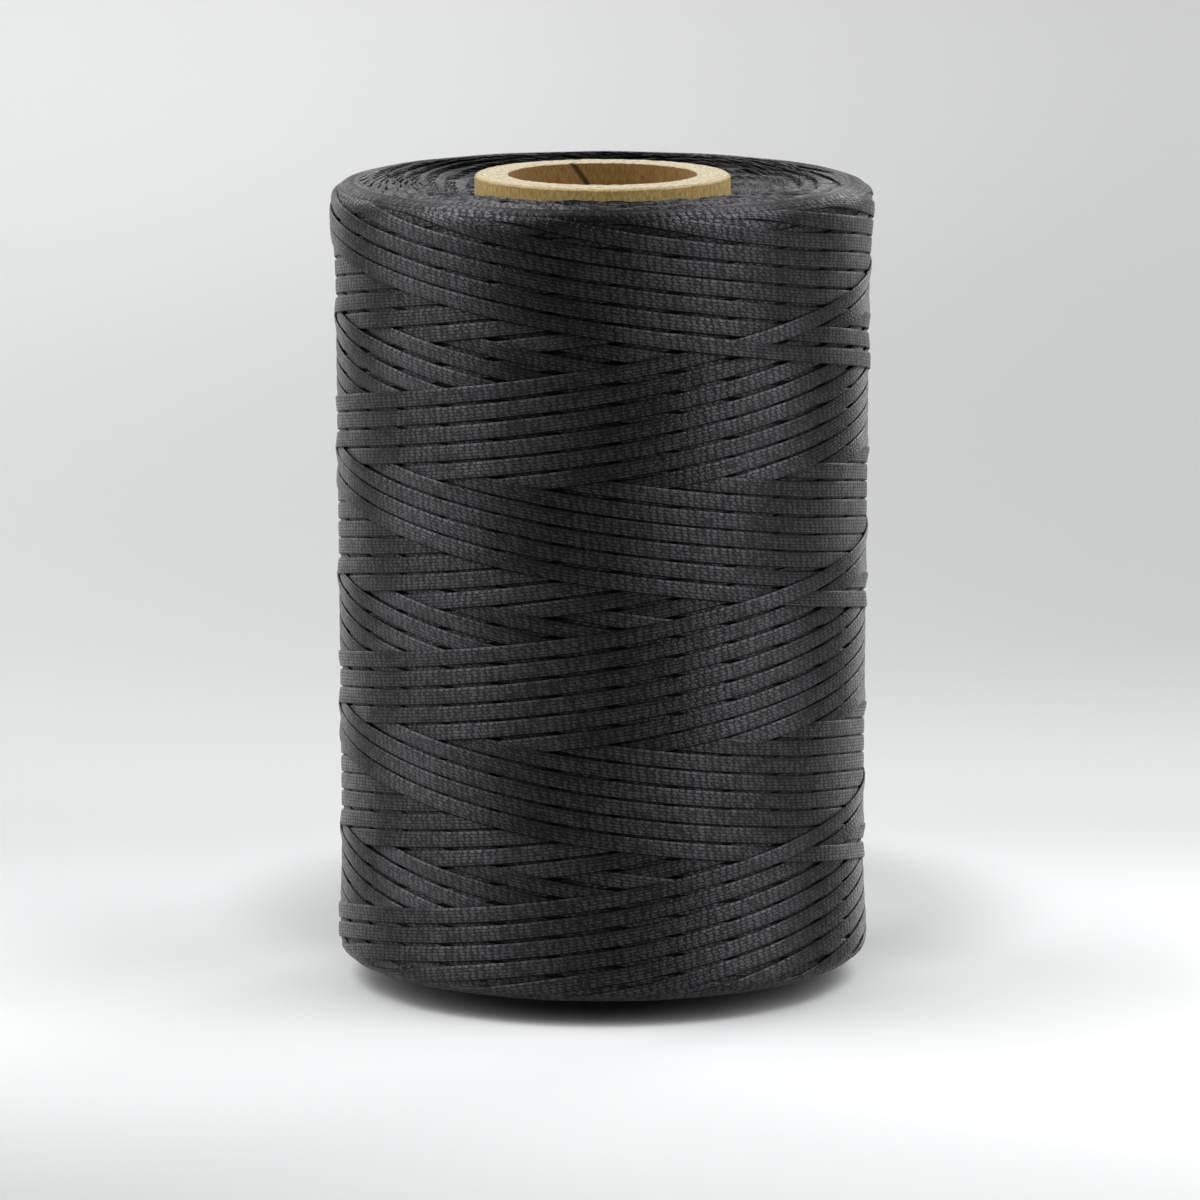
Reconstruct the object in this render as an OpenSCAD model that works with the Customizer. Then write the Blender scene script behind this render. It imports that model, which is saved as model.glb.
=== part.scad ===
// Waxed thread spool: flat braided waxed thread, cross-wound on a spiral paper tube.
// Millimetres. The axis is +Z, and the tube stands on its lower end at z = 0.

/* [Paper tube] */
// Bore of the tube, the standard one-inch size
bore_d = 25.4; // [20:0.1:40]
// Length of the tube
tube_l = 109.4; // [90:0.1:150]
// Thickness of the liner, the ply that faces the bore
liner_t = 0.3; // [0.2:0.05:0.6]
// Thickness of one ply of board
board_t = 0.65; // [0.4:0.05:0.9]
// Number of board plies between the liner and the outer wrap
board_count = 6; // [3:1:8]
// Thickness of the outer wrap
wrap_t = 0.3; // [0.2:0.05:0.6]
// Rise of each paper strip in one turn round the tube
strip_lead_l = 110; // [80:1:200]
// Gap between the edges of a strip where its turns meet
seam_w = 0.4; // [0.2:0.05:0.8]
// Angle from +X to the liner's seam at the tube's lower end
liner_seam_angle = 111; // [0:1:359]
// Angle from +X to the outer wrap's seam at the tube's lower end
wrap_seam_angle = 66; // [0:1:359]

/* [Winding] */
// Diameter of the winding at its waist
winding_d = 70.7; // [62:0.1:90]
// Height of the waist above the tube's lower end
waist_h = 26; // [24:0.5:50]
// Gain in radius from the waist to the winding's upper end
head_flare_r = 0.55; // [0:0.05:1.5]
// Swelling of the lower rim, where the thread turns back
foot_swell_r = 0.9; // [0:0.05:1.5]
// Swelling of the upper rim, where the thread turns back
head_swell_r = 0.5; // [0:0.05:1.5]
// Height of each rim's swelling
swell_h = 16; // [10:0.5:16]
// Length of tube that stands out below the winding
foot_reveal_h = 2.7; // [1:0.1:8]
// Length of tube that stands out above the winding
head_reveal_h = 0.6; // [0.5:0.1:8]
// Diameter of the circle on which each end face is highest
crest_d = 50; // [46:0.5:58]
// Depth of each end face's dip towards the tube
crest_dip_h = 2; // [0:0.1:4]
// Height of the round shoulder at each end
shoulder_h = 4.2; // [2:0.1:4.8]

/* [Thread] */
// Width of the flat braided thread
thread_w = 2.36; // [1.5:0.02:3]
// Thickness of the thread
thread_t = 0.3; // [0.2:0.02:0.5]
// Radial space between turns that cross
cross_gap_t = 0.6; // [0.55:0.01:1]
// Depth by which the first turns press into the thread under them
seat_press_t = 0.05; // [0.02:0.01:0.1]
// Distance from an end face's crest to the middle of the thread where it turns back
turn_back_h = 3; // [2.2:0.1:5]
// Number of passes up and back down in the outermost turns
round_trip_count = 4; // [2:1:4]

/* [Hidden] */

$fn = 96;
// Overshoot of a cutter past what it cuts
past = 1;
board_r = bore_d / 2 + liner_t;
wrap_r = board_r + board_count * board_t;
tube_r = wrap_r + wrap_t;
// Straight slices in one turn of a seam
seam_slices_per_turn = 12;
seam_h = tube_l + 2 * past;
seam_slices = ceil(seam_slices_per_turn * seam_h / strip_lead_l);

foot_z = foot_reveal_h;
head_z = tube_l - head_reveal_h;
crest_r = crest_d / 2;
// Roundness of a shoulder: 2 is an ellipse, and more is squarer
shoulder_power = 3.6;
shoulder_points = 4;
// Power of the dip: more is flatter at the crest and steeper at the tube
dip_power = 3;
dip_points = 2;

// A turn of the outermost thread is a polygon with this many corners
turn_rings = 24;
turn_step = 360 / turn_rings;
// Cosine of half a corner's angle: a flat side lies nearer the axis than its corners
side_share = cos(turn_step / 2);
// A pass is three turns less its share of one, so that the passes spread evenly
pass_rings = 3 * turn_rings - turn_rings / (2 * round_trip_count);
// Corners on each side of a turn-back over which the thread climbs or drops a level
climb_rings = 2;
// The two ends lie one corner apart on the first turn-back
first_ring = climb_rings + 1;
last_ring = 2 * round_trip_count * pass_rings + climb_rings;
level_t = thread_t + cross_gap_t;
thread_low = foot_z + turn_back_h;
thread_high = head_z - turn_back_h;
thread_lead_l = (thread_high - thread_low) * turn_rings / pass_rings;
thread_cos = cos(atan(thread_lead_l / (PI * winding_d)));
// Height of the thread's section in a plane through the axis
section_h = thread_w / thread_cos;
// Samples of the gap test in each step between corners
gap_samples = 4;

function board_name(i) = str("board_ply_", i);

// Swelling at a distance from an end, which fades out over swell_h
function swelling(amount, distance) =
    amount * pow(max(0, 1 - distance / swell_h), 2);

// Outer radius of the whole winding at height z, without its shoulders
function side_r(z) =
    winding_d / 2
    + head_flare_r * max(0, z - waist_h) / (head_z - waist_h)
    + swelling(foot_swell_r, z - foot_z)
    + swelling(head_swell_r, head_z - z);

// Radius of the inner layers, where the flat sides of the outermost turns press on them
function seat_r(z) = (side_r(z) - level_t - thread_t) * side_share + seat_press_t;

// One shoulder as [radius, distance from the crest], from the crest outwards
function shoulder(rim_r) = [
    for (i = [0 : shoulder_points])
        let (a = 90 * i / shoulder_points)
        [
            crest_r + (rim_r - crest_r) * pow(sin(a), 2 / shoulder_power),
            shoulder_h * (1 - pow(cos(a), 2 / shoulder_power)),
        ]
];

// The dip of an end face as [radius, distance from the crest], from the tube outwards
function end_dip() = [
    for (i = [0 : dip_points - 1])
        let (u = i / dip_points)
        [tube_r + (crest_r - tube_r) * u, crest_dip_h * pow(1 - u, dip_power)]
];

function reversed(list) = [for (i = [len(list) - 1 : -1 : 0]) list[i]];

function winding_outline() =
    let (
        foot_edge = concat(end_dip(), shoulder(seat_r(foot_z + shoulder_h))),
        head_edge = concat(end_dip(), shoulder(seat_r(head_z - shoulder_h))),
        side_heights = [foot_z + swell_h / 2, waist_h, head_z - swell_h / 2]
    )
    concat(
        [for (p = foot_edge) [p[0], foot_z + p[1]]],
        [for (z = side_heights) [seat_r(z), z]],
        [for (p = reversed(head_edge)) [p[0], head_z - p[1]]]
    );

// Corners from the nearest turn-back at the foot
function foot_distance(ring) =
    let (m = ring - 2 * pass_rings * floor(ring / (2 * pass_rings)))
    min(m, 2 * pass_rings - m);

function sharp_z(ring) =
    thread_low + (thread_high - thread_low) * foot_distance(ring) / pass_rings;

// Height of the thread's middle, with each turn-back rounded over its neighbours
function thread_z(ring) = (sharp_z(ring - 1) + 2 * sharp_z(ring) + sharp_z(ring + 1)) / 4;

// 0 on the way up and 1 on the way down, with a steady climb or drop at each turn-back
function level(ring) =
    let (m = ring - 2 * pass_rings * floor(ring / (2 * pass_rings)))
    m < climb_rings ? 0.5 - m / (2 * climb_rings) :
    m < pass_rings - climb_rings ? 0 :
    m < pass_rings + climb_rings ? (m - pass_rings + climb_rings) / (2 * climb_rings) :
    m < 2 * pass_rings - climb_rings ? 1 :
    0.5 + (2 * pass_rings - m) / (2 * climb_rings);

// Radius of the thread's middle
function thread_r(ring) =
    side_r(thread_z(ring)) - level_t - thread_t / 2 + level(ring) * level_t;

// The six corners of the thread's section at one ring
function section(ring) =
    let (
        r = thread_r(ring),
        z = thread_z(ring),
        half_t = thread_t / 2,
        half_h = section_h / 2,
        flat_h = half_h - half_t
    )
    [
        for (p = [
            [r + half_t, z - flat_h], [r + half_t, z + flat_h], [r, z + half_h],
            [r - half_t, z + flat_h], [r - half_t, z - flat_h], [r, z - half_h]
        ])
        [p[0] * cos(ring * turn_step), p[0] * sin(ring * turn_step), p[1]]
    ];

// Least gap between the thread and itself, one or more whole turns away
function least_gap() =
    let (
        steps = (last_ring - first_ring) * gap_samples,
        path = [
            for (s = [0 : steps])
                let (ring = first_ring + s / gap_samples)
                [thread_r(ring), thread_z(ring)]
        ],
        turn = turn_rings * gap_samples
    )
    min([
        for (s = [0 : steps - turn])
            for (other = [s + turn : turn : steps])
                norm([
                    max(0, abs(path[s][0] - path[other][0]) - thread_t) * side_share,
                    max(0, abs(path[s][1] - path[other][1]) - section_h) * thread_cos,
                ])
    ]);

// One paper ply wound into a sleeve
module sleeve(inner_r, thickness) {
    difference() {
        cylinder(r = inner_r + thickness, h = tube_l);
        translate([0, 0, -past])
            cylinder(r = inner_r, h = seam_h);
    }
}

// A ply that shows, with the fine helical gap where the edges of its strip meet
module seamed_sleeve(inner_r, thickness, seam_angle) {
    difference() {
        sleeve(inner_r, thickness);
        rotate([0, 0, seam_angle - 360 * past / strip_lead_l])
            translate([0, 0, -past])
                linear_extrude(
                    height = seam_h,
                    twist = -360 * seam_h / strip_lead_l,
                    slices = seam_slices,
                    segments = 4
                )
                    translate([inner_r - past, -seam_w / 2])
                        square([thickness + 2 * past, seam_w]);
    }
}

module inner_liner() {
    color([0.50, 0.40, 0.26])
        seamed_sleeve(bore_d / 2, liner_t, liner_seam_angle);
}

module board_ply(i) {
    color([0.80, 0.74, 0.60])
        sleeve(board_r + (i - 1) * board_t, board_t);
}

module outer_wrap() {
    color([0.66, 0.57, 0.41])
        seamed_sleeve(wrap_r, wrap_t, wrap_seam_angle);
}

// The inner layers of thread, plain because the outermost turns cover them
module wound_thread() {
    color([0.13, 0.13, 0.14])
        rotate_extrude()
            polygon(winding_outline());
}

// The outermost turns: one unbroken flat thread that climbs and falls between the rims
module outer_turns() {
    echo(outer_turns = (last_ring - first_ring) / turn_rings, least_gap = least_gap());
    rings = last_ring - first_ring + 1;
    points = [for (ring = [first_ring : last_ring]) each section(ring)];
    sides = [
        for (ring = [0 : rings - 2])
            for (k = [0 : 5])
                let (
                    a = 6 * ring + k,
                    b = 6 * ring + (k + 1) % 6
                )
                each [[a, b, b + 6], [a, b + 6, a + 6]]
    ];
    last = 6 * (rings - 1);
    caps = [for (k = [1 : 4]) each [[0, k + 1, k], [last, last + k, last + k + 1]]];
    color([0.22, 0.22, 0.23])
        polyhedron(points, concat(sides, caps), convexity = 10);
}

inner_liner();
for (i = [1 : board_count])
    board_ply(i);
outer_wrap();
wound_thread();
outer_turns();
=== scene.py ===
"""Waxed thread spool: flat braided thread, cross-wound on a spiral paper tube. Metres, axis on +Z."""

import math

import bmesh
import bpy
import numpy as np
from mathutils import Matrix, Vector


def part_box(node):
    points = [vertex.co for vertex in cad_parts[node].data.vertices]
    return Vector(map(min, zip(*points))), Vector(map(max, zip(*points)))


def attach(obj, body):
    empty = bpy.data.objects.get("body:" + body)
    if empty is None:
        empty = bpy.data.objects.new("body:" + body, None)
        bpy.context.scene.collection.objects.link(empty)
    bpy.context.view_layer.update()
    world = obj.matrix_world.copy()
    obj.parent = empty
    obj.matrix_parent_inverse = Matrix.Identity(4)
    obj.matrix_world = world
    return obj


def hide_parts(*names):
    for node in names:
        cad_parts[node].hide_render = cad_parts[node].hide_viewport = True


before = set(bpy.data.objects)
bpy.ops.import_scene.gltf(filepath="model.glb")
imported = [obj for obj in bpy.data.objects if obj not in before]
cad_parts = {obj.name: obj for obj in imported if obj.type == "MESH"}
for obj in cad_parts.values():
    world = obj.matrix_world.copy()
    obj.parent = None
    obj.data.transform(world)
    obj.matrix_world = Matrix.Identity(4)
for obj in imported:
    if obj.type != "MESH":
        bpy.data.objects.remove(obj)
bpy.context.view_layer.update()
MM = 0.001

# Camera: the point that it looks at, its distance from there, and its angle above the horizon
LOOK_AT = Vector((-0.34, 0, 51.31)) * MM
CAMERA_DISTANCE = 1157.2 * MM
CAMERA_RISE = math.radians(9.59)
# Height in metres about half way up, where the lamps point
MIDDLE_Z = 0.055

# Paper tube, in millimetres: the strips climb on a right-handed helix
TUBE_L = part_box("outer_wrap")[1].z / MM
BORE_R = 12.7
STRIP_LEAD = 110
BOARD_PLIES = 6
# Share of a turn from +X to a seam at the tube's foot
LINER_SEAM = 0.311
WRAP_SEAM = 0.183

# Winding, in millimetres
TUBE_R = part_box("outer_wrap")[1].x / MM
FOOT_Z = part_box("wound_thread")[0].z / MM
HEAD_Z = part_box("wound_thread")[1].z / MM
WAIST_R = 35.47
WAIST_Z = 26
HEAD_FLARE = 0.55
FOOT_SWELL = 0.9
HEAD_SWELL = 1.1
SWELL_H = 16
CREST_R = 25
CREST_DIP = 2
SHOULDER_H = 4.2
SHOULDER_POWER = 4.3

# Flat braided thread, in millimetres
THREAD_W = 2.17
THREAD_T = 0.27
STITCH_L = 1.04
# The edges give way, so only the middle of the width lifts a crossing turn
PRESSED_W = 1.9

# Path of the outermost turns: stations on the thread, 28 full passes and the last, short one
STEPS_PER_TURN = 112
STEPS_PER_PASS = 332
PASSES = 28
LEAD_IN = 14
TUCK_START = 102
TUCK_END = 119
TURN_BACK_ANGLE = -151.8
TURN_BACK_HIGH = 106.85
TURN_BACK_LOW = 4.52
TURN_BACK_REACH = 1.0
RISE_PER_DEGREE = (TURN_BACK_HIGH - TURN_BACK_LOW) * STEPS_PER_TURN / (STEPS_PER_PASS * 360)
LANES = np.array([-0.92, -0.5, 0, 0.5, 0.92]) * THREAD_W / 2
# The thread's drift from an even pitch, in millimetres, by distance along the outline
DRIFT_AT = [0, 7, 11, 18, 24, 31, 38, 45, 51, 58, 65, 71, 78, 84, 90, 97, 106]
DRIFT = [-1.4, -1.4, -1.3, -0.9, -0.7, -0.9, -1.0, -0.95, -0.6]
DRIFT += [-0.3, -0.35, -0.5, -0.55, -0.2, 0.5, 0.65, 0.65]

# End faces: turn-backs in one cover, how far each older one lies inside the next, and how far round
COVER_TURN_BACKS = PASSES // 2
LAYER_GAIN = 2 * THREAD_T / COVER_TURN_BACKS
# Degrees that keep the turn-backs of one cover from lying right over those of the next
COVER_CREEP = 0.334
TURN_BACK_SHIFT = 360 / COVER_TURN_BACKS + COVER_CREEP

chance = np.random.default_rng(11)
scene = bpy.context.scene
scene.view_settings.view_transform = "Standard"


def place_camera():
    """A long lens that frames the whole spool from the front, a little above."""
    camera = bpy.data.objects.new("camera", bpy.data.cameras.new("camera"))
    camera.data.sensor_width = 36
    camera.data.lens = 256.37
    camera.data.clip_start = 0.05
    camera.data.clip_end = 30
    away = Vector((0, -math.cos(CAMERA_RISE), math.sin(CAMERA_RISE)))
    camera.location = LOOK_AT + away * CAMERA_DISTANCE
    camera.rotation_euler = (math.pi / 2 - CAMERA_RISE, 0, 0)
    scene.collection.objects.link(camera)
    scene.camera = camera


# Shader graphs

def new_finish(name):
    """A material with one Principled shader, and its graph."""
    finish = bpy.data.materials.new(name)
    finish.use_nodes = True
    return finish, finish.node_tree, finish.node_tree.nodes["Principled BSDF"]


def set_values(shader, **values):
    """Sets sockets by name, with an underscore for each space."""
    for name, value in values.items():
        shader.inputs[name.replace("_", " ")].default_value = value


def add_node(graph, kind, inputs=None, **settings):
    """A shader node with its settings, and its sockets linked or set."""
    made = graph.nodes.new("ShaderNode" + kind)
    for name, value in settings.items():
        setattr(made, name, value)
    for socket, value in (inputs or {}).items():
        if isinstance(value, bpy.types.NodeSocket):
            graph.links.new(value, made.inputs[socket])
        else:
            made.inputs[socket].default_value = value
    return made


def calc(graph, operation, *values, clamp=False):
    """One step of arithmetic on numbers or sockets."""
    inputs = dict(enumerate(values))
    return add_node(graph, "Math", inputs, operation=operation, use_clamp=clamp).outputs[0]


def fade(graph, value, low, high, start=0.0, end=1.0):
    """start below low, end above high, and smooth between."""
    inputs = {"Value": value, "From Min": low, "From Max": high, "To Min": start, "To Max": end}
    return add_node(graph, "MapRange", inputs, interpolation_type="SMOOTHSTEP").outputs[0]


def blend_colours(graph, share, first, second):
    """The first colour where share is 0, and the second where it is 1."""
    inputs = {0: share, 6: first, 7: second}
    return add_node(graph, "Mix", inputs, data_type="RGBA").outputs[2]


def grade(graph, value, stops, greys):
    """A grey that passes through each of the greys, at its stop."""
    colour = (greys[0],) * 3 + (1,)
    for low, high, grey in zip(stops, stops[1:], greys[1:]):
        colour = blend_colours(graph, fade(graph, value, low, high), colour, (grey, grey, grey, 1))
    return colour


def noise(graph, place, scale, detail=3.0, roughness=0.55):
    inputs = {"Vector": place, "Scale": scale, "Detail": detail, "Roughness": roughness}
    return add_node(graph, "TexNoise", inputs).outputs["Fac"]


def raise_surface(graph, shader, height, strength, distance):
    bump = add_node(graph, "Bump", {"Height": height, "Strength": strength, "Distance": distance})
    graph.links.new(bump.outputs[0], shader.inputs["Normal"])


# Ends of the braid's base colour; the mask between them holds the stitches and also painted highlights and
# painted shade
BRAID_DARK = (0.0008, 0.0008, 0.001, 1)
BRAID_LIGHT = (0.0025, 0.0025, 0.0028, 1)
STITCH_ROWS = 5.0
# In stitches: how far every second row is shifted, and how far a row's stitches slant
ROW_STAGGER = 0.22
ROW_SLANT = 0.25


def braid_finish(name):
    """Waxed black braid: staggered stitches along the thread, each of fine slanted filaments, with painted
    highlights on the stitches' middles and upper edge and painted shade between the stitches and along the
    lower edge.
    """
    finish, graph, shader = new_finish(name)
    along_across = add_node(graph, "UVMap", uv_map="braid").outputs[0]
    parts = add_node(graph, "SeparateXYZ", {0: along_across})
    along = parts.outputs[0]
    across = parts.outputs[1]
    # Rows of stitches side by side, and where a point lies in its row
    rows = calc(graph, "MULTIPLY", across, STITCH_ROWS)
    row = calc(graph, "FLOOR", rows)
    odd = calc(graph, "MODULO", row, 2.0)
    in_row = calc(graph, "SUBTRACT", calc(graph, "FRACT", rows), 0.5)
    # The stitches drift along the thread, and those that lie abreast form a column; the gaps between
    # columns are painted darker as shade
    wobble = noise(graph, along_across, 0.35, 1.0)
    drifting = calc(graph, "MULTIPLY_ADD", wobble, 0.8, along)
    drifting = calc(graph, "MULTIPLY_ADD", across, 0.3, drifting)
    drifting = calc(graph, "MULTIPLY_ADD", noise(graph, along_across, 1.1, 2.0), 0.7, drifting)
    from_column = calc(graph, "ABSOLUTE", calc(graph, "SUBTRACT", calc(graph, "FRACT", drifting), 0.5))
    column = fade(graph, from_column, 0.27, 0.5, 1.0, 0.5)
    # Each stitch is a rounded lozenge; its middle is painted bright as a highlight, and its rim and the
    # ground between stitches darker as painted shade
    shifted = calc(graph, "MULTIPLY_ADD", odd, ROW_STAGGER, drifting)
    shifted = calc(graph, "MULTIPLY_ADD", in_row, ROW_SLANT, shifted)
    in_stitch = calc(graph, "SUBTRACT", calc(graph, "FRACT", shifted), 0.5)
    long_part = calc(graph, "ABSOLUTE", calc(graph, "MULTIPLY", in_stitch, 2.2))
    wide_part = calc(graph, "ABSOLUTE", calc(graph, "MULTIPLY", in_row, 2.35))
    long_part = calc(graph, "POWER", long_part, 3.0)
    wide_part = calc(graph, "POWER", wide_part, 2.5)
    from_middle = calc(graph, "ADD", long_part, wide_part)
    stitch = fade(graph, from_middle, 0.1, 1.5, 1.0, 0.1)
    # Wax in patches, fibres and fine fuzz
    object_place = add_node(graph, "TexCoord").outputs["Object"]
    patches = noise(graph, object_place, 160.0, 2.0)
    fuzz = noise(graph, object_place, 2600.0, 2.0)
    grain = noise(graph, object_place, 900.0, 2.0, 0.6)
    sparkle = fade(graph, fuzz, 0.36, 0.62, 0.45, 1.6)
    # A painted highlight along the thread's upper edge, and a painted shadow along its lower edge
    painted_edge_highlight_mask = fade(graph, across, 0.93, 0.985)
    painted_lower_edge_shadow = fade(graph, across, 0.03, 0.12, 1.0, 0.0)
    light = calc(graph, "MULTIPLY", stitch, column)
    light = calc(graph, "MULTIPLY", light, fade(graph, grain, 0.32, 0.62, 0.5, 1.2))
    light = calc(graph, "MULTIPLY", light, sparkle)
    light = calc(graph, "MULTIPLY", light, fade(graph, patches, 0.3, 0.7, 0.75, 1.15))
    painted_edge_highlight = calc(graph, "MULTIPLY", painted_edge_highlight_mask, fade(graph, grain, 0.35, 0.55))
    light = calc(graph, "MAXIMUM", light, painted_edge_highlight)
    # seen is 1 outside the painted shadow along the lower edge, and darkens the mask inside it
    seen = calc(graph, "SUBTRACT", 1.0, painted_lower_edge_shadow)
    light = calc(graph, "MULTIPLY", light, seen, clamp=True)
    # The mask sets colour, specular tint and roughness: stitches with painted highlights and painted shade
    colour = blend_colours(graph, light, BRAID_DARK, BRAID_LIGHT)
    graph.links.new(colour, shader.inputs["Base Color"])
    sheen = blend_colours(graph, light, (0.38, 0.375, 0.38, 1), (0.93, 0.935, 1.0, 1))
    # The specular tint falls nearly to zero in the painted shadow along the lower edge
    sheen = blend_colours(graph, seen, (0.03, 0.03, 0.03, 1), sheen)
    graph.links.new(sheen, shader.inputs["Specular Tint"])
    rough = calc(graph, "MULTIPLY_ADD", light, -0.32, 0.62)
    rough = calc(graph, "MULTIPLY_ADD", fuzz, 0.1, rough)
    graph.links.new(rough, shader.inputs["Roughness"])
    height = calc(graph, "MULTIPLY_ADD", grain, 0.5, stitch)
    height = calc(graph, "MULTIPLY_ADD", fuzz, 0.25, height)
    raise_surface(graph, shader, height, 1.0, 0.00004)
    tangent = add_node(graph, "Tangent", direction_type="UV_MAP", uv_map="braid").outputs[0]
    graph.links.new(tangent, shader.inputs["Tangent"])
    set_values(shader, Anisotropic=1.0, Anisotropic_Rotation=0.25, IOR=1.55, Specular_IOR_Level=0.76)
    return finish


def deep_thread_finish(name):
    """Thread seen only through the gaps: dark, with faint slanted turns."""
    finish, graph, shader = new_finish(name)
    place = add_node(graph, "TexCoord").outputs["Object"]
    inputs = {"Vector": place, "Scale": 65.0, "Distortion": 1.0}
    turns = add_node(graph, "TexWave", inputs, bands_direction="Z")
    dark = (0.003, 0.003, 0.003, 1)
    light = (0.008, 0.008, 0.009, 1)
    colour = blend_colours(graph, turns.outputs["Fac"], dark, light)
    graph.links.new(colour, shader.inputs["Base Color"])
    set_values(shader, Roughness=0.8, Specular_IOR_Level=0.2)
    raise_surface(graph, shader, turns.outputs["Fac"], 0.5, 0.0002)
    return finish


def paper_finish(name, pale, dark, seam):
    """Spiral-wound paper: fibres along the strip, specks, a pale cut edge and the strip's seam."""
    finish, graph, shader = new_finish(name)
    place = add_node(graph, "TexCoord").outputs["Object"]
    parts = add_node(graph, "SeparateXYZ", {0: place})
    x, y, z = parts.outputs
    turn = calc(graph, "DIVIDE", calc(graph, "ARCTAN2", y, x), 2 * math.pi)
    flat_place = add_node(graph, "CombineXYZ", {0: x, 1: y}).outputs[0]
    radius = add_node(graph, "VectorMath", {0: flat_place}, operation="LENGTH").outputs["Value"]
    climb = calc(graph, "SUBTRACT", turn, calc(graph, "DIVIDE", z, STRIP_LEAD * MM))
    cloudy = noise(graph, place, 230.0, 4.0, 0.6)
    specks = noise(graph, place, 1500.0, 3.0, 0.7)
    across_strip = calc(graph, "MULTIPLY", climb, 500.0)
    along_strip = calc(graph, "MULTIPLY", z, 260.0)
    strip_place = add_node(graph, "CombineXYZ", {0: across_strip, 1: along_strip, 2: radius}).outputs[0]
    fibres = noise(graph, strip_place, 1.6, 4.0, 0.7)
    round_tube = calc(graph, "MULTIPLY", turn, 300.0)
    up_tube = calc(graph, "MULTIPLY", z, 900.0)
    fuzz_place = add_node(graph, "CombineXYZ", {0: round_tube, 1: up_tube}).outputs[0]
    fuzz = noise(graph, fuzz_place, 1.0, 3.0, 0.6)
    share = calc(graph, "MULTIPLY_ADD", fuzz, 0.5, calc(graph, "MULTIPLY", fibres, 0.5))
    colour = blend_colours(graph, fade(graph, share, 0.36, 0.62), (*dark, 1), (*pale, 1))
    freckled = fade(graph, specks, 0.60, 0.76, 0.0, 0.7)
    colour = blend_colours(graph, freckled, colour, tuple(c * 0.55 for c in dark) + (1,))
    facing = add_node(graph, "SeparateXYZ", {0: add_node(graph, "NewGeometry").outputs["Normal"]})
    up = calc(graph, "ABSOLUTE", facing.outputs[2])
    cut = fade(graph, calc(graph, "MULTIPLY_ADD", specks, 0.3, up), 0.45, 0.85)
    ragged_radius = calc(graph, "MULTIPLY_ADD", specks, 0.0006, radius)
    rubbed_edge = fade(graph, ragged_radius, 0.0169, 0.0175, 1.0, 0.25)
    cut = calc(graph, "MULTIPLY", cut, rubbed_edge)
    clean = fade(graph, specks, 0.35, 0.6)
    cut_colour = blend_colours(graph, clean, (0.36, 0.30, 0.20, 1), (0.54, 0.465, 0.315, 1))
    colour = blend_colours(graph, cut, colour, cut_colour)
    height = calc(graph, "ADD", fibres, calc(graph, "MULTIPLY", specks, 0.6))
    if seam is not None:
        beside = calc(graph, "FRACT", calc(graph, "SUBTRACT", climb, seam - 0.5))
        beside = calc(graph, "MULTIPLY", calc(graph, "SUBTRACT", beside, 0.5), 2 * math.pi * BORE_R)
        beside = calc(graph, "MULTIPLY_ADD", cloudy, 0.25, beside)
        gap = fade(graph, calc(graph, "ABSOLUTE", beside), 0.1, 0.7, 1.0, 0.0)
        from_crease = calc(graph, "ABSOLUTE", calc(graph, "SUBTRACT", beside, 2.6))
        crease = fade(graph, from_crease, 0.05, 0.2, 1.0, 0.0)
        colour = blend_colours(graph, calc(graph, "MULTIPLY", crease, 0.5), colour, (*pale, 1))
        colour = blend_colours(graph, calc(graph, "MULTIPLY", gap, 0.88), colour, (0.03, 0.016, 0.005, 1))
        height = calc(graph, "MULTIPLY_ADD", gap, -3.0, height)
    graph.links.new(colour, shader.inputs["Base Color"])
    raise_surface(graph, shader, height, 0.6, 0.00012)
    set_values(shader, Roughness=0.86, Specular_IOR_Level=0.3, Sheen_Weight=0.1, Sheen_Roughness=0.5)
    return finish


# Winding

def side_radius(height):
    """Outer radius of the winding's side, in millimetres."""
    flare = HEAD_FLARE * np.maximum(0, height - WAIST_Z) / (HEAD_Z - WAIST_Z)
    foot = FOOT_SWELL * np.maximum(0, 1 - (height - FOOT_Z) / SWELL_H) ** 2
    head = HEAD_SWELL * np.maximum(0, 1 - (HEAD_Z - height) / SWELL_H) ** 2
    return WAIST_R + flare + foot + head


def shoulder_line(rim_r, count=90):
    """Radius and depth below the crest, from the crest out to the rim."""
    angle = np.linspace(0, math.pi / 2, count)
    out = np.sin(angle) ** (2 / SHOULDER_POWER)
    down = 1 - np.clip(np.cos(angle), 0, 1) ** (2 / SHOULDER_POWER)
    return CREST_R + (rim_r - CREST_R) * out, SHOULDER_H * down


def winding_line():
    """The winding's outline from its lower crest to its upper one, by distance along it."""
    low_r, low_d = shoulder_line(side_radius(FOOT_Z + SHOULDER_H))
    high_r, high_d = shoulder_line(side_radius(HEAD_Z - SHOULDER_H))
    side_z = np.linspace(FOOT_Z + SHOULDER_H, HEAD_Z - SHOULDER_H, 80)[1:-1]
    radius = np.concatenate([low_r, side_radius(side_z), high_r[::-1]])
    height = np.concatenate([FOOT_Z + low_d, side_z, HEAD_Z - high_d[::-1]])
    distance = np.concatenate([[0], np.cumsum(np.hypot(np.diff(radius), np.diff(height)))])
    distance += WAIST_Z - np.interp(WAIST_Z, height, distance)
    return distance, radius, height


LINE_S, LINE_R, LINE_Z = winding_line()
LINE_OUT = np.gradient(LINE_Z, LINE_S)
LINE_UP = -np.gradient(LINE_R, LINE_S)


def face_height(radius):
    """Height of the upper end face at a radius; the lower one mirrors it."""
    high_r, high_d = shoulder_line(side_radius(HEAD_Z - SHOULDER_H))
    outside = HEAD_Z - np.interp(radius, high_r, high_d)
    dip = CREST_DIP * (np.maximum(0, CREST_R - radius) / (CREST_R - TUBE_R)) ** 3
    return np.where(radius < CREST_R, HEAD_Z - dip, outside)


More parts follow.
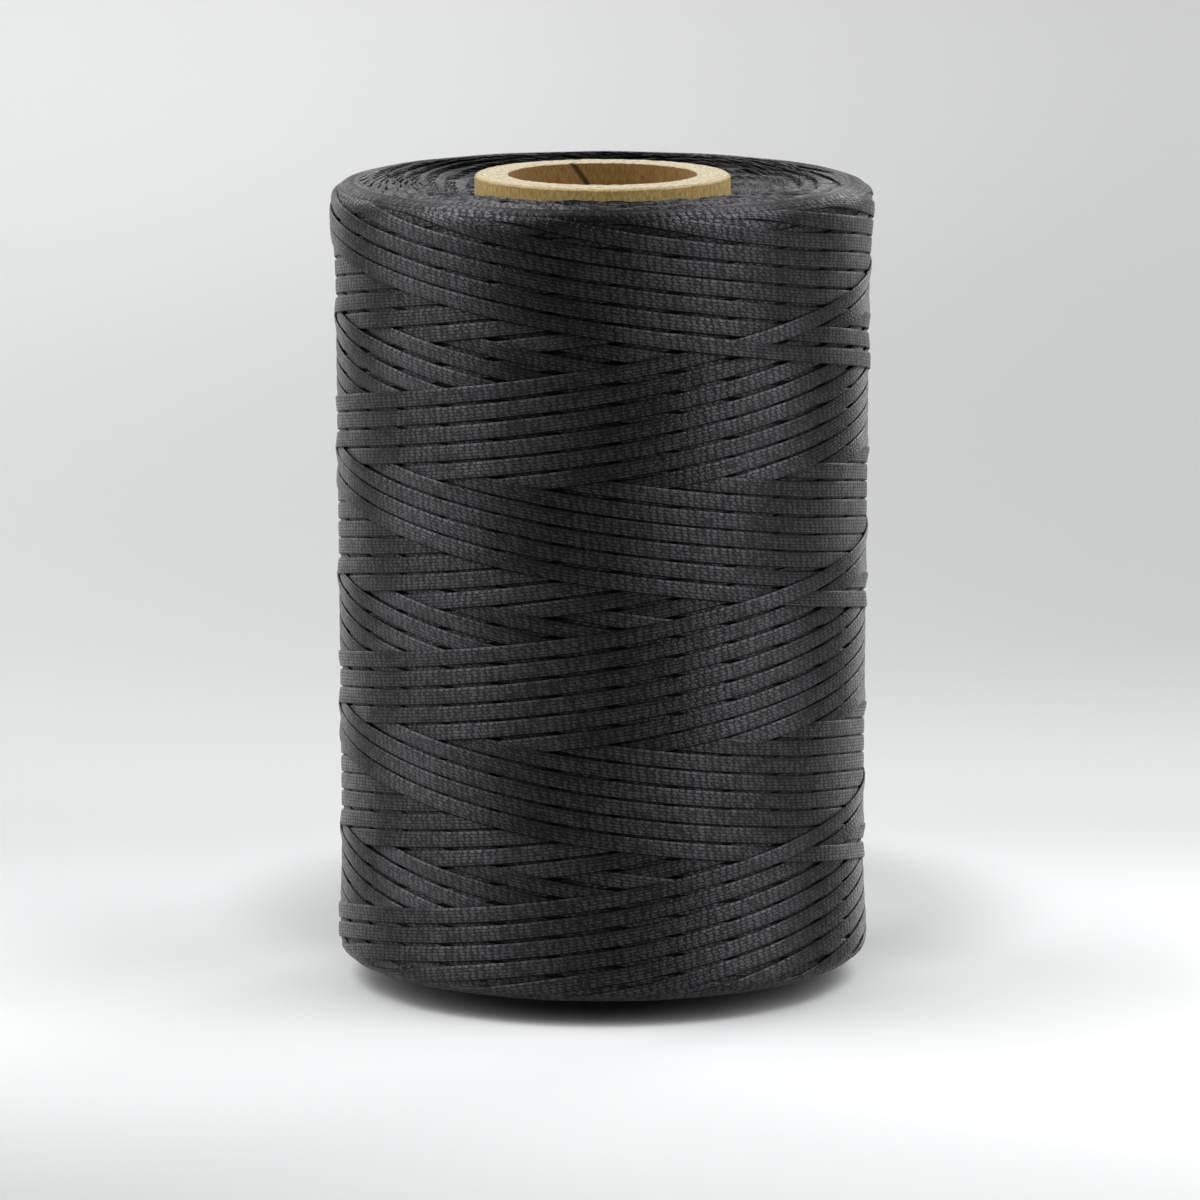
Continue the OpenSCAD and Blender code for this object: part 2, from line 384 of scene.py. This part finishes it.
def under_outline(distance, below):
    """Radius and height of a point that lies below the outline, at a distance along it."""
    radius = np.interp(distance, LINE_S, LINE_R) - below * np.interp(distance, LINE_S, LINE_OUT)
    height = np.interp(distance, LINE_S, LINE_Z) - below * np.interp(distance, LINE_S, LINE_UP)
    return radius, height


def edge_height(radius):
    """Height to which the turn-backs stand at the upper end face, lower towards the tube."""
    dip_at = [17.2, 19, 20, 21, 22, 23.5, 25, 27.5]
    dip = np.interp(radius, dip_at, [2.75, 1.75, 1.4, 1.1, 0.85, 0.5, 0.2, -0.15])
    return np.where(radius < 27.5, HEAD_Z - dip, face_height(radius) + 0.15)


def smooth(values, rounds, axis=0):
    """Evens the values out along one axis, a little more with each round."""
    values = np.moveaxis(values, axis, 0)
    for _ in range(rounds):
        padded = np.concatenate([values[:1], values, values[-1:]])
        values = (padded[:-2] + 2 * padded[1:-1] + padded[2:]) / 4
    return np.moveaxis(values, 0, axis)


def station_angle(station):
    """Degrees round the axis at which a station lies, zero facing -Y."""
    return TURN_BACK_ANGLE + (station - PASSES * STEPS_PER_PASS) * 360 / STEPS_PER_TURN


FIRST = -LEAD_IN
LAST = PASSES * STEPS_PER_PASS + TUCK_END
STATIONS = np.arange(FIRST, LAST + 1)


def thread_course():
    """Distance along the outline of the thread's middle, at each station."""
    cycle = STATIONS % (2 * STEPS_PER_PASS)
    from_head = np.minimum(cycle, 2 * STEPS_PER_PASS - cycle)
    from_foot = STEPS_PER_PASS - from_head
    course = TURN_BACK_HIGH - (TURN_BACK_HIGH - TURN_BACK_LOW) * from_head / STEPS_PER_PASS
    course = course + TURN_BACK_REACH * np.exp(-(from_head / 6) ** 2)
    course = course - TURN_BACK_REACH * np.exp(-(from_foot / 6) ** 2)
    # On the front, the passes lie higher towards the sides than in the middle
    turn = (station_angle(STATIONS) + 180) % 360 - 180
    at_front = np.clip((125 - np.abs(turn)) / 75, 0, 1)
    at_front = at_front * at_front * (3 - 2 * at_front)
    bow = np.interp(course, [30, 48], [1.7, 1.0]) * (1 - np.cos(np.radians(turn))) * at_front
    drift = smooth(np.interp(course, DRIFT_AT, DRIFT), 30)
    wander = smooth(chance.normal(0, 1, len(STATIONS)), 60)
    wander *= 0.055 / wander.std()
    return smooth(course, 3) + drift + bow + wander


COURSE = thread_course()


def lay_thread():
    """Height of each lane of the thread above the layers beneath, oldest turns first."""
    # The pile is a grid: a column for each station of a turn, and rows up the outline
    row_h = 0.1
    row_count = 1200
    pile = np.zeros((STEPS_PER_TURN, row_count))
    lift = np.zeros((len(STATIONS), len(LANES)))
    half = THREAD_W / 2 / math.cos(math.atan(RISE_PER_DEGREE * 360 / (2 * math.pi * WAIST_R)))
    offsets = np.arange(-half, half + row_h / 2, row_h)

    def lay(first, last):
        index = np.arange(first, last) - FIRST
        column = STATIONS[index] % STEPS_PER_TURN
        under = np.zeros((len(index), len(LANES)))
        for lane, across in enumerate(LANES):
            for beside in np.clip(across + np.arange(-3, 4) * row_h, -PRESSED_W / 2, PRESSED_W / 2):
                rows = np.round((COURSE[index] + beside) / row_h).astype(int)
                under[:, lane] = np.maximum(under[:, lane], pile[column, rows])
        widened = under.copy()
        widened[1:] = np.maximum(widened[1:], under[:-1])
        widened[:-1] = np.maximum(widened[:-1], under[1:])
        settled = smooth(smooth(widened, 2), 1, axis=1)
        lift[index] = np.maximum(settled, under - 0.04)
        for offset in offsets:
            rows = np.round((COURSE[index] + offset) / row_h).astype(int)
            lane_height = np.array([np.interp(offset, LANES, values) for values in lift[index]])
            pile[column, rows] = np.maximum(pile[column, rows], lane_height + THREAD_T)

    # The last, short pass ends under the newest full one, which is laid after that end
    top = PASSES * STEPS_PER_PASS
    lay(FIRST, 0)
    for number in range(PASSES - 1):
        lay(number * STEPS_PER_PASS, (number + 1) * STEPS_PER_PASS)
    lay(top + TUCK_START, top + TUCK_END + 1)
    lay(top - STEPS_PER_PASS, top)
    lay(top, top + TUCK_START)
    return smooth(lift, 1)


LIFT = lay_thread()


def thread_section():
    """Ten corners of the flat thread: (across, up), in millimetres, from one edge over the top."""
    half = THREAD_W / 2
    top = [(lane, THREAD_T * (1 - 0.16 * abs(lane / half) ** 3)) for lane in LANES]
    bottom = [(0.85 * half, 0.1 * THREAD_T), (0, 0), (-0.85 * half, 0.1 * THREAD_T)]
    return [(-half, THREAD_T / 2), *top, (half, THREAD_T / 2), *bottom]


def straight_thread(section, steps, closed=False):
    """A straight length of flat thread along +X, one metre to a station."""
    bm = bmesh.new()
    corners = [bm.verts.new((0, across, up)) for across, up in section]
    ring = [bm.edges.new((corners[i - 1], corners[i])) for i in range(len(corners))]
    bmesh.ops.spin(bm, geom=ring, axis=(1, 0, 0), dvec=(1, 0, 0), angle=0, steps=steps, use_duplicate=False)
    if closed:
        bmesh.ops.holes_fill(bm, edges=[edge for edge in bm.edges if edge.is_boundary], sides=0)
    mesh = bpy.data.meshes.new("straight_thread")
    bm.to_mesh(mesh)
    bm.free()
    return mesh


def add_wound(bm, straight, place_all):
    """Adds a copy of the straight thread to the piece, and winds it."""
    count = len(bm.verts)
    bm.from_mesh(straight)
    bm.verts.ensure_lookup_table()
    added = bm.verts[count:]
    flat = np.array([vert.co for vert in added])
    places, along, across = place_all(flat)
    along_layer = bm.verts.layers.float.get("along") or bm.verts.layers.float.new("along")
    across_layer = bm.verts.layers.float.get("across") or bm.verts.layers.float.new("across")
    bm.verts.ensure_lookup_table()
    added = bm.verts[count:]
    for vert, place, u, v in zip(added, places, along, across):
        vert.co = place
        vert[along_layer] = u
        vert[across_layer] = v


def map_braid(bm):
    """Lays the braid's map: stitches along the thread, and 0 to 1 across it."""
    along_layer = bm.verts.layers.float["along"]
    across_layer = bm.verts.layers.float["across"]
    braid = bm.loops.layers.uv.new("braid")
    for face in bm.faces:
        for corner in face.loops:
            corner[braid].uv = (corner.vert[along_layer], corner.vert[across_layer])


def spin_outline(line, steps):
    """A closed outline, (radius, height) in millimetres, spun once round the axis."""
    bm = bmesh.new()
    corners = [bm.verts.new((radius * MM, 0, height * MM)) for radius, height in line]
    ring = [bm.edges.new((corners[i - 1], corners[i])) for i in range(len(corners))]
    bmesh.ops.spin(bm, geom=ring, axis=(0, 0, 1), angle=2 * math.pi, steps=steps, use_merge=True)
    return bm


def finish_piece(bm, name, material, nodes):
    """Makes the piece from its bmesh, and tells the frame what it is."""
    bmesh.ops.recalc_face_normals(bm, faces=bm.faces)
    mesh = bpy.data.meshes.new(name)
    bm.to_mesh(mesh)
    bm.free()
    mesh.shade_smooth()
    mesh.materials.append(material)
    piece = bpy.data.objects.new(name, mesh)
    scene.collection.objects.link(piece)
    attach(piece, "root")
    for node in nodes:
        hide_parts(node)
    return piece


def around(angle, radius, height):
    """Places in metres from an angle in degrees, zero facing -Y, and a radius and height in mm."""
    turn = np.radians(angle - 90)
    return np.stack([radius * np.cos(turn), radius * np.sin(turn), height], axis=-1) * MM


def outermost_turns(material):
    """One unbroken thread: the newest full cover of crossing turns, and the short last pass."""
    bm = bmesh.new()
    section = thread_section()
    one_pass = straight_thread(section, STEPS_PER_PASS)
    lead_in = straight_thread(section, LEAD_IN)
    last_pass = straight_thread(section, TUCK_END)

    def wound(first):
        def place(flat):
            station = np.round(flat[:, 0]).astype(int) + first
            index = station - FIRST
            across = flat[:, 1]
            lane = np.clip(across, LANES[0], LANES[-1])
            lifted = np.array([np.interp(a, LANES, LIFT[i]) for a, i in zip(lane, index)])
            distance = COURSE[index] + across
            from_end = np.minimum(HEAD_Z - distance, distance - FOOT_Z)
            sunk = np.clip((1.3 - from_end) / 1.6, 0, 1)
            below = 2 * THREAD_T - lifted * (1 - 0.45 * sunk) - flat[:, 2]
            radius, height = under_outline(distance, below)
            along = station * (2 * math.pi * WAIST_R / STEPS_PER_TURN) / STITCH_L
            places = around(station_angle(station), radius, height)
            return places, along, across / THREAD_W + 0.5
        return place

    add_wound(bm, lead_in, wound(FIRST))
    for number in range(PASSES):
        add_wound(bm, one_pass, wound(number * STEPS_PER_PASS))
    add_wound(bm, last_pass, wound(PASSES * STEPS_PER_PASS))
    bmesh.ops.remove_doubles(bm, verts=bm.verts, dist=1e-7)
    bmesh.ops.holes_fill(bm, edges=[edge for edge in bm.edges if edge.is_boundary], sides=0)
    map_braid(bm)
    return finish_piece(bm, "outermost_turns", material, ["outer_turns"])


def end_turns(name, material, upper):
    """The edges of all the older turn-backs at one end, from the tube out to the newest cover."""
    bm = bmesh.new()
    half = THREAD_W / 2
    top = [(-half, THREAD_T), (half - 0.35, THREAD_T), (half - 0.1, THREAD_T), (half, 0.8 * THREAD_T)]
    section = top + [(across, THREAD_T - up) for across, up in reversed(top)]
    steps = 12
    # Degrees of the thread on each side of its turn-back
    reach = 20
    arc = straight_thread(section, steps, closed=True)
    rim_r = float(side_radius(HEAD_Z - SHOULDER_H if upper else FOOT_Z + SHOULDER_H))
    outermost = rim_r - 4 * THREAD_T
    first_angle = TURN_BACK_ANGLE if upper else TURN_BACK_ANGLE - 180 / COVER_TURN_BACKS
    count = int((outermost - TUBE_R - 0.05) / LAYER_GAIN)
    # The outer turn-backs lean in over the shoulder, most at their edge
    lean_most = 4.48
    lean_power = 4.3

    def turned_back(number):
        layer_r = outermost - (number - 1) * LAYER_GAIN
        middle = first_angle + number * TURN_BACK_SHIFT
        leaning = ((layer_r - TUBE_R) / (rim_r - TUBE_R)) ** 1.5
        drop = chance.normal(0, 0.03 if layer_r > 33 else 0.09)

        def place(flat):
            aside = (flat[:, 0] / steps * 2 - 1) * reach
            climb = np.clip((aside + 4) / 13, 0, 1)
            climb = climb * climb * (3 - 2 * climb)
            edge_r = layer_r - 1.6 * leaning
            edge_z = float(edge_height(edge_r)) + drop
            fall = RISE_PER_DEGREE * (np.sqrt(aside ** 2 + 9) - 3)
            height = edge_z - fall - (half - flat[:, 1])
            depth = np.clip((HEAD_Z - height) / SHOULDER_H, 0, 1)
            lean = leaning * lean_most * (1 - depth) ** lean_power
            radius = layer_r + climb * THREAD_T + flat[:, 2] - lean
            if not upper:
                height = HEAD_Z + FOOT_Z - height
            along = aside * math.pi / 180 * layer_r / STITCH_L
            across = flat[:, 1] / THREAD_W + 0.5
            # Inner turn-backs are mapped so the braid paints a highlight on their top edge and painted
            # shadow over the rest
            if layer_r < 31:
                across = np.where(across > 0.9, 1, 0.02)
            return around(middle + aside, radius, height), along, across
        return place

    for number in range(1, count + 1):
        add_wound(bm, arc, turned_back(number))
    map_braid(bm)
    return finish_piece(bm, name, material, ["wound_thread"])


def end_cover(name, material, upper):
    """The turn-backs' faces that lie side by side from the newest cover over the shoulder."""
    line = []
    for from_end, depth in ((6.5, 2.5), (4.6, 2.1), (3.4, 1.9), (2.5, 1.15), (1.6, 0.85), (0.7, 0.5)):
        line.append(under_outline(HEAD_Z - from_end, depth * THREAD_T))
    for radius in (35, 34.3, 33.4, 32, 30, 28, 26.4, CREST_R, 24, 23, 22, 21, 20, 19, 18, TUBE_R + 0.03):
        below = 0.13 if radius > 33 else 0.5
        line.append((radius, float(edge_height(radius)) - below))
    line += [(TUBE_R + 0.03, 104), (32, 101)]
    if not upper:
        foot_gain = side_radius(FOOT_Z + SHOULDER_H) - side_radius(HEAD_Z - SHOULDER_H)
        line = [(r + foot_gain * max(0, (r - 30) / 6), HEAD_Z + FOOT_Z - z) for r, z in line]
    steps = 180
    bm = spin_outline(line, steps)
    for vert in bm.verts:
        turn = math.atan2(vert.co.y, vert.co.x)
        vert.co.z += 0.03 * MM * math.sin(COVER_TURN_BACKS * turn + 900 * vert.co.xy.length)
    braid = bm.loops.layers.uv.new("braid")
    for face in bm.faces:
        turns = [math.atan2(corner.vert.co.y, corner.vert.co.x) / (2 * math.pi) for corner in face.loops]
        for corner, turn in zip(face.loops, turns):
            turn += 1 if max(turns) - turn > 0.5 else 0
            place = corner.vert.co
            across = (place.xy.length - abs(place.z - MIDDLE_Z)) / MM / THREAD_W % 1.5
            corner[braid].uv = (turn * steps, 0.14 + min(across, 1.5 - across))
    return finish_piece(bm, name, material, ["wound_thread"])


def inner_layers(material):
    """The body of the winding, under the newest cover and between the end turns."""
    rim = float(side_radius(HEAD_Z - SHOULDER_H)) - 2 * THREAD_T
    foot_rim = float(side_radius(FOOT_Z + SHOULDER_H)) - 2 * THREAD_T
    under = 1.9
    line = []
    for radius in (TUBE_R + 0.02, 19, 22, CREST_R, 29, 32, 33.6):
        line.append((radius, HEAD_Z + FOOT_Z - float(face_height(radius)) + under))
    line += [(foot_rim - 0.5, FOOT_Z + 3.4), (foot_rim - 0.06, FOOT_Z + 5.2)]
    for height in np.linspace(10, 100, 10):
        line.append((float(side_radius(height)) - 2 * THREAD_T - 0.03, height))
    line += [(rim - 0.06, HEAD_Z - 5.2), (rim - 0.5, HEAD_Z - 3.4)]
    for radius in (33.6, 32, 29, CREST_R, 22, 19, TUBE_R + 0.02):
        line.append((radius, float(face_height(radius)) - under))
    return finish_piece(spin_outline(line, 144), "inner_layers", material, ["wound_thread"])


# Paper tube

def tube_sleeve(name, node, inner_r, outer_r, steps, material):
    """One wound ply, with soft edges where the tube was cut and rubbed."""
    round_r = min(0.07, (outer_r - inner_r) / 3)

    def rubbed(radius):
        """How far the cut end is worn down at a radius, most at the tube's outer and inner edges."""
        outside = np.clip((radius - (TUBE_R - 0.75)) / 0.75, 0, 1)
        inside = np.clip((BORE_R + 0.3 - radius) / 0.3, 0, 1)
        return 0.34 * outside ** 2.4 + 0.12 * inside ** 2

    line = []
    for end, flip in ((0, -1), (TUBE_L, 1)):
        inner_edge = inner_r + round_r * np.array([0, 0.3, 1])
        outer_edge = outer_r - round_r * np.array([1, 0.3, 0])
        radii = np.concatenate([inner_edge, np.linspace(inner_r, outer_r, 5)[1:-1], outer_edge])
        nick = round_r * np.array([1, 0.3, 0, 0, 0, 0, 0, 0.3, 1])
        depths = rubbed(radii) + nick
        points = [(radius, end - flip * depth) for radius, depth in zip(radii, depths)]
        line += points if flip > 0 else points[::-1]
    bm = spin_outline(line, steps)
    waves = [(chance.integers(2, 60), chance.uniform(0, 6.3), chance.uniform(-1, 1)) for _ in range(26)]
    for vert in bm.verts:
        turn = math.atan2(vert.co.y, vert.co.x)
        uneven = 0.011 * MM * sum(size * math.sin(count * turn + start) for count, start, size in waves)
        vert.co.z += uneven if vert.co.z > MIDDLE_Z else 0
    return finish_piece(bm, name, material, [node])


def tube():
    """The paper plies, from the bore outwards."""
    liner = paper_finish("liner_paper", (0.32, 0.178, 0.048), (0.15, 0.082, 0.019), LINER_SEAM)
    wrap = paper_finish("wrap_paper", (0.56, 0.39, 0.135), (0.27, 0.18, 0.052), WRAP_SEAM)
    board = paper_finish("pale_board", (0.56, 0.47, 0.30), (0.42, 0.33, 0.19), None)
    liner_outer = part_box("inner_liner")[1].x / MM
    tube_sleeve("liner_sleeve", "inner_liner", BORE_R, liner_outer, 300, liner)
    inner_r = liner_outer
    for number in range(1, BOARD_PLIES + 1):
        node = f"board_ply_{number}"
        outer_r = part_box(node)[1].x / MM
        tube_sleeve(f"board_sleeve_{number}", node, inner_r, outer_r, 160, board)
        inner_r = outer_r
    tube_sleeve("wrap_sleeve", "outer_wrap", inner_r, TUBE_R, 360, wrap)


# Studio

def sweep_finish():
    """Pale grey paper, its greys painted lighter and darker from front to back and from left to right as
    the lamps' light and shadows fall, with a painted shadow round the foot.
    """
    finish, graph, shader = new_finish("sweep_paper")
    place = add_node(graph, "TexCoord").outputs["Object"]
    parts = add_node(graph, "SeparateXYZ", {0: place})
    # Painted light and shade in the greys: lightest just in front of the spool, against the lamps' shadow
    # there, darker behind it and lighter again far back
    stops = [-0.22, 0.0, 0.115, 0.27, 1.10]
    left = grade(graph, parts.outputs[1], stops, [0.33, 0.70, 0.535, 0.52, 0.93])
    right = grade(graph, parts.outputs[1], stops, [0.58, 0.92, 0.55, 0.43, 0.72])
    colour = blend_colours(graph, fade(graph, parts.outputs[0], -0.16, 0.16), left, right)
    # Painted shadow round the foot: up to about a third darker within 38 mm of a point just behind the
    # axis, gone by 64 mm
    inputs = {0: place, 1: (0.004, 0.045, 0)}
    from_foot = add_node(graph, "VectorMath", inputs, operation="DISTANCE").outputs["Value"]
    shade = fade(graph, from_foot, 0.038, 0.064, 0.32, 0.0)
    colour = blend_colours(graph, shade, colour, (0, 0, 0, 1))
    graph.links.new(colour, shader.inputs["Base Color"])
    set_values(shader, Roughness=0.9, Specular_IOR_Level=0.1)
    return finish


def studio():
    """A pale sweep: floor, curve and back wall."""
    bm = bmesh.new()
    curve_y = 0.9
    curve_r = 0.8
    line = [(-2.5, 0.0), (curve_y, 0.0)]
    for angle in np.linspace(0.12, math.pi / 2, 14):
        line.append((curve_y + curve_r * math.sin(angle), curve_r - curve_r * math.cos(angle)))
    line.append((curve_y + curve_r, 3.0))
    corners = [bm.verts.new((-3.5, y, z)) for y, z in line]
    edges = [bm.edges.new((corners[i], corners[i + 1])) for i in range(len(corners) - 1)]
    bmesh.ops.spin(bm, geom=edges, axis=(1, 0, 0), dvec=(7, 0, 0), angle=0, steps=1, use_duplicate=False)
    bmesh.ops.recalc_face_normals(bm, faces=bm.faces)
    mesh = bpy.data.meshes.new("sweep")
    bm.to_mesh(mesh)
    bm.free()
    mesh.shade_smooth()
    sweep = bpy.data.objects.new("sweep", mesh)
    scene.collection.objects.link(sweep)
    mesh.materials.append(sweep_finish())


def add_light(name, place, target, size, power, colour=(1, 1, 1), spread=180):
    """A softbox in watts and metres, with the angle in degrees over which it spreads."""
    lamp = bpy.data.lights.new(name, "AREA")
    lamp.shape = "RECTANGLE"
    lamp.size = size[0]
    lamp.size_y = size[1]
    lamp.energy = power
    lamp.color = colour
    lamp.spread = math.radians(spread)
    light = bpy.data.objects.new(name, lamp)
    light.location = place
    light.rotation_euler = (Vector(target) - Vector(place)).to_track_quat("-Z", "Y").to_euler()
    scene.collection.objects.link(light)


def light_studio():
    """Tall softboxes at both sides, smaller ones above and behind, and one for the backdrop."""
    middle = (0, 0, MIDDLE_Z)
    cool = (0.96, 0.98, 1)
    add_light("left_softbox", (-0.717, -0.126, 0.666), middle, (0.95, 1.2), 7.3)
    add_light("right_softbox", (0.645, -0.338, 0.666), middle, (0.7, 1.2), 5.5)
    add_light("upper_left_softbox", (-0.57, 0.121, 0.988), middle, (0.6, 0.6), 4.9, cool)
    add_light("upper_right_softbox", (0.548, 0.048, 1.008), middle, (0.5, 0.6), 4.5, cool)
    add_light("backdrop_softbox", (0, 1.35, 1.4), (0, 1.3, 0), (1.6, 0.8), 9)
    add_light("rear_right_softbox", (0.52, 0.83, 0.45), middle, (0.35, 0.8), 0.25, spread=40)
    add_light("rear_left_softbox", (-0.52, 0.83, 0.45), middle, (0.35, 0.8), 0.13, spread=40)
    world = bpy.data.worlds.new("studio")
    scene.world = world
    world.use_nodes = True
    background = world.node_tree.nodes["Background"]
    background.inputs["Color"].default_value = (0.80, 0.81, 0.83, 1)
    background.inputs["Strength"].default_value = 0.02


place_camera()
studio()
light_studio()

braid = braid_finish("waxed_braid")
outermost_turns(braid)
end_turns("upper_end_turns", braid, True)
end_turns("lower_end_turns", braid, False)
end_cover("upper_shoulder", braid, True)
end_cover("lower_shoulder", braid, False)
inner_layers(deep_thread_finish("deep_thread"))

tube()
